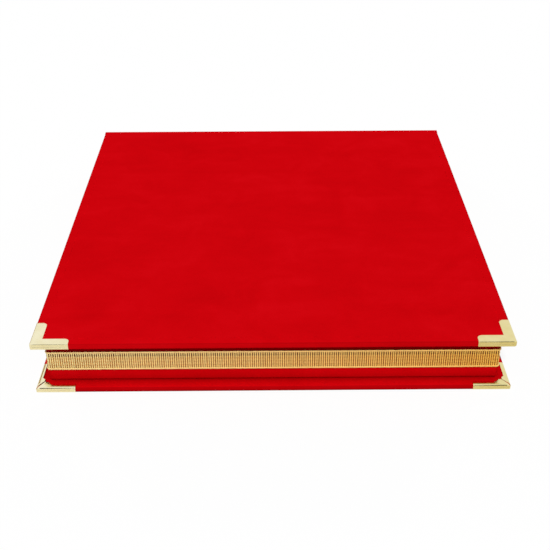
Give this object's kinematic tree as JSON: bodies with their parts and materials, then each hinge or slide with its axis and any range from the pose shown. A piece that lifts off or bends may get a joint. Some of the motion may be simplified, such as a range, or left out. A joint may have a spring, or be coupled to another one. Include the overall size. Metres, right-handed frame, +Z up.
{
  "type": "stamp album",
  "caption": "Stamp album in a velvet-covered book-style case: hinged lid, gold-braided tray wall, brass book corners, and stock leaves with clear strips on a screw-post binding.",
  "frame": {"origin": "centre of the closed case's footprint, on the surface that it lies on", "axes": "+Z up through the closed lid, +Y from the front edge to the spine, +X to the right seen from the front"},
  "size_m": [0.24, 0.272, 0.03],
  "materials": {
    "velvet": "short-pile red velvet, glued over board",
    "gold_braid": "ribbed metallic braid with corded edges",
    "corner_brass": "polished pale gold sheet",
    "screw_brass": "turned, lightly polished",
    "greyboard": "pressed pulp board",
    "lining_paper": "ivory watered paper, satin",
    "leaf_card": "matt black stock card",
    "clear_strip": "clear film",
    "linen": "plain-weave linen guard",
    "riser_wood": "planed beech",
    "black_bar": "black lacquer, semi-gloss"
  },
  "bodies": {
    "root": {"base_board": "greyboard", "base_velvet": "velvet", "base_lining": "lining_paper", "wall_front": "greyboard", "wall_left": "greyboard", "wall_right": "greyboard", "tray_velvet": "velvet", "tray_lining": "lining_paper", "braid": "gold_braid", "binding_riser": "riser_wood", "binding_bar": "black_bar", "post_left": "screw_brass", "post_right": "screw_brass", "screw_left": "screw_brass", "screw_right": "screw_brass", "lower_hinge_cloth": "velvet", "corner_base_left": "corner_brass", "corner_base_right": "corner_brass", "guard_1": "linen", "guard_2": "linen", "guard_3": "linen", "guard_4": "linen", "guard_5": "linen", "guard_6": "linen", "guard_7": "linen", "guard_8": "linen"},
    "spine": {"spine_board": "greyboard", "spine_velvet": "velvet", "spine_lining": "lining_paper", "upper_hinge_cloth": "velvet"},
    "lid": {"lid_board": "greyboard", "lid_velvet": "velvet", "lid_lining": "lining_paper", "corner_lid_left": "corner_brass", "corner_lid_right": "corner_brass"},
    "leaf_1": {"leaf_1": "leaf_card", "strips_1": "clear_strip"},
    "leaf_2": {"leaf_2": "leaf_card", "strips_2": "clear_strip"},
    "leaf_3": {"leaf_3": "leaf_card", "strips_3": "clear_strip"},
    "leaf_4": {"leaf_4": "leaf_card", "strips_4": "clear_strip"},
    "leaf_5": {"leaf_5": "leaf_card", "strips_5": "clear_strip"},
    "leaf_6": {"leaf_6": "leaf_card", "strips_6": "clear_strip"},
    "leaf_7": {"leaf_7": "leaf_card", "strips_7": "clear_strip"},
    "leaf_8": {"leaf_8": "leaf_card", "strips_8": "clear_strip"}
  },
  "joints": [
    {"name": "lid_fold", "type": "hinge", "parent": "spine", "child": "lid", "pos_m": [0, 0.135, 0.029], "axis": [-1, 0, 0], "range_deg": [0, 90], "deforming": ["upper_hinge_cloth"]},
    {"name": "spine_fold", "type": "hinge", "parent": "root", "child": "spine", "pos_m": [0, 0.135, 0.001], "axis": [-1, 0, 0], "range_deg": [0, 90], "deforming": ["lower_hinge_cloth"]},
    {"name": "leaf_1_turn", "type": "hinge", "parent": "root", "child": "leaf_1", "pos_m": [0, 0.121, 0.015], "axis": [-1, 0, 0], "range_deg": [0, 180], "deforming": ["guard_1"]},
    {"name": "leaf_2_turn", "type": "hinge", "parent": "root", "child": "leaf_2", "pos_m": [0, 0.121, 0.015], "axis": [-1, 0, 0], "range_deg": [0, 180], "deforming": ["guard_2"]},
    {"name": "leaf_3_turn", "type": "hinge", "parent": "root", "child": "leaf_3", "pos_m": [0, 0.121, 0.015], "axis": [-1, 0, 0], "range_deg": [0, 180], "deforming": ["guard_3"]},
    {"name": "leaf_4_turn", "type": "hinge", "parent": "root", "child": "leaf_4", "pos_m": [0, 0.121, 0.015], "axis": [-1, 0, 0], "range_deg": [0, 180], "deforming": ["guard_4"]},
    {"name": "leaf_5_turn", "type": "hinge", "parent": "root", "child": "leaf_5", "pos_m": [0, 0.121, 0.015], "axis": [-1, 0, 0], "range_deg": [0, 180], "deforming": ["guard_5"]},
    {"name": "leaf_6_turn", "type": "hinge", "parent": "root", "child": "leaf_6", "pos_m": [0, 0.121, 0.015], "axis": [-1, 0, 0], "range_deg": [0, 180], "deforming": ["guard_6"]},
    {"name": "leaf_7_turn", "type": "hinge", "parent": "root", "child": "leaf_7", "pos_m": [0, 0.121, 0.015], "axis": [-1, 0, 0], "range_deg": [0, 180], "deforming": ["guard_7"]},
    {"name": "leaf_8_turn", "type": "hinge", "parent": "root", "child": "leaf_8", "pos_m": [0, 0.121, 0.015], "axis": [-1, 0, 0], "range_deg": [0, 180], "deforming": ["guard_8"]}
  ],
  "couplings": [
    {"joint": "spine_fold", "follows": "lid_fold", "ratio": 1},
    {"joint": "leaf_1_turn", "follows": "lid_fold", "ratio": 1.99},
    {"joint": "leaf_2_turn", "follows": "lid_fold", "ratio": 1.98},
    {"joint": "leaf_3_turn", "follows": "lid_fold", "ratio": 1.97},
    {"joint": "leaf_4_turn", "follows": "lid_fold", "ratio": 1.96},
    {"joint": "leaf_5_turn", "follows": "lid_fold", "ratio": 0.035},
    {"joint": "leaf_6_turn", "follows": "lid_fold", "ratio": 0.025},
    {"joint": "leaf_7_turn", "follows": "lid_fold", "ratio": 0.015},
    {"joint": "leaf_8_turn", "follows": "lid_fold", "ratio": 0.005}
  ]
}
